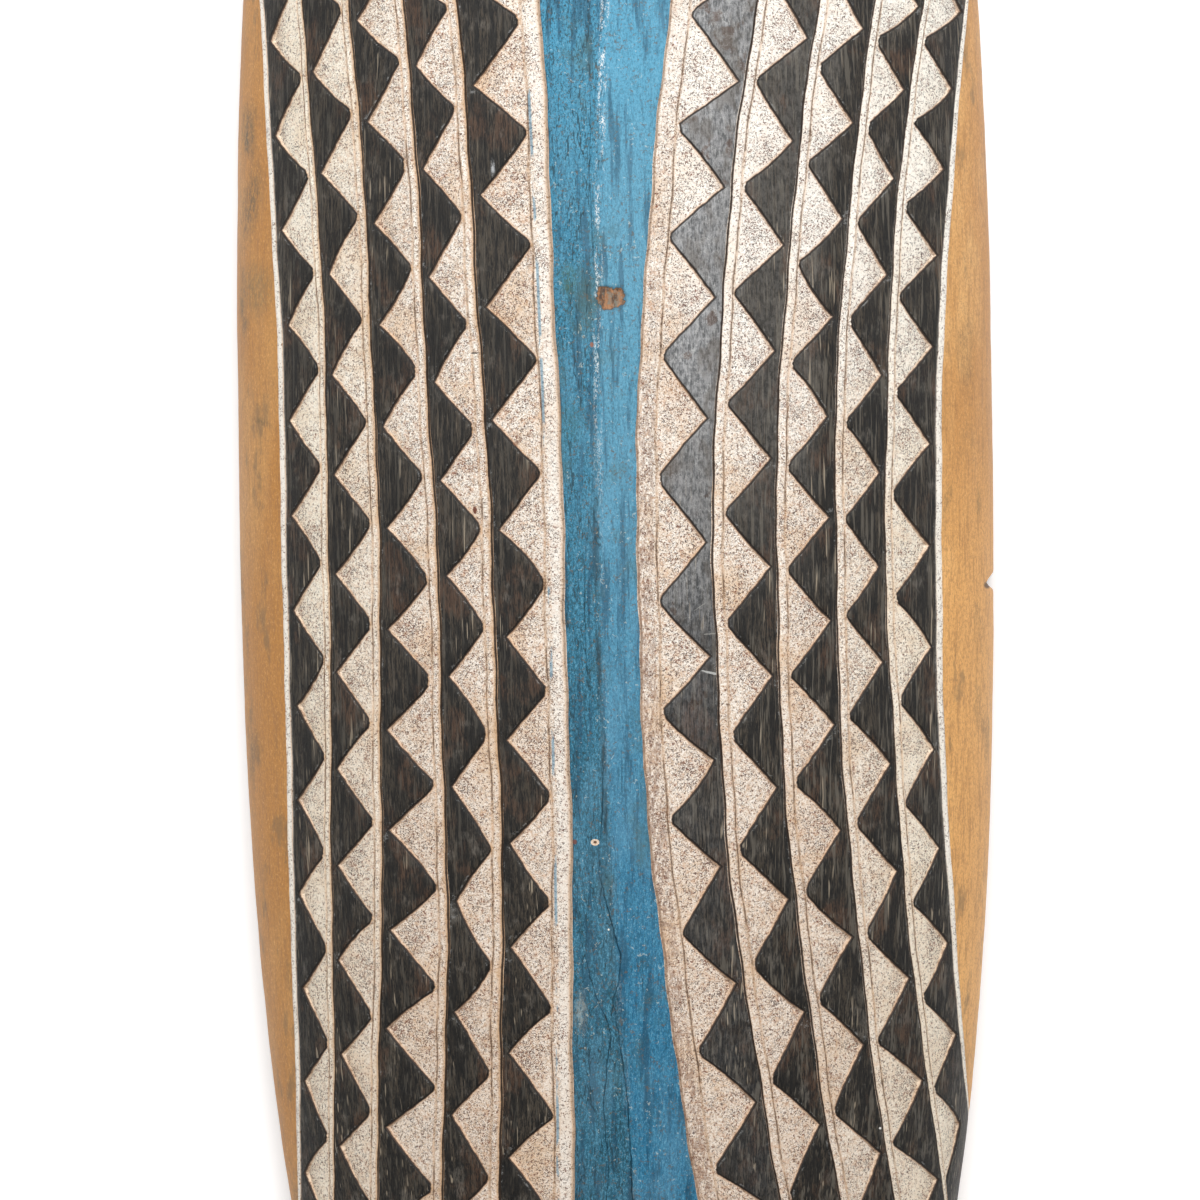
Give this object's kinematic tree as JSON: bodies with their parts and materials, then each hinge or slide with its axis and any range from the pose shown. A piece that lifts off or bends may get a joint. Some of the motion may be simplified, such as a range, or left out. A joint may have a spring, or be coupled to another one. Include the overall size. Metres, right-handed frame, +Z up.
{
  "type": "carved wooden shield",
  "caption": "Tall oval shield carved from one board, strongly domed, with chip-carved columns of white and black teeth, a blue centre band, ochre edges and a grip across the hollow back.",
  "frame": {"origin": "on the plane of the rim's underside, at the middle of the length and the width", "axes": "+Y towards the shield's upper end, +X to the right of someone facing the carved side, +Z up out of the carved face"},
  "size_m": [0.44, 1.5196, 0.1385],
  "materials": {
    "painted_wood": "hand-carved wood with worn matte paint in white, black, blue and ochre"
  },
  "bodies": {
    "root": {"shield_board": "painted_wood"}
  },
  "joints": []
}
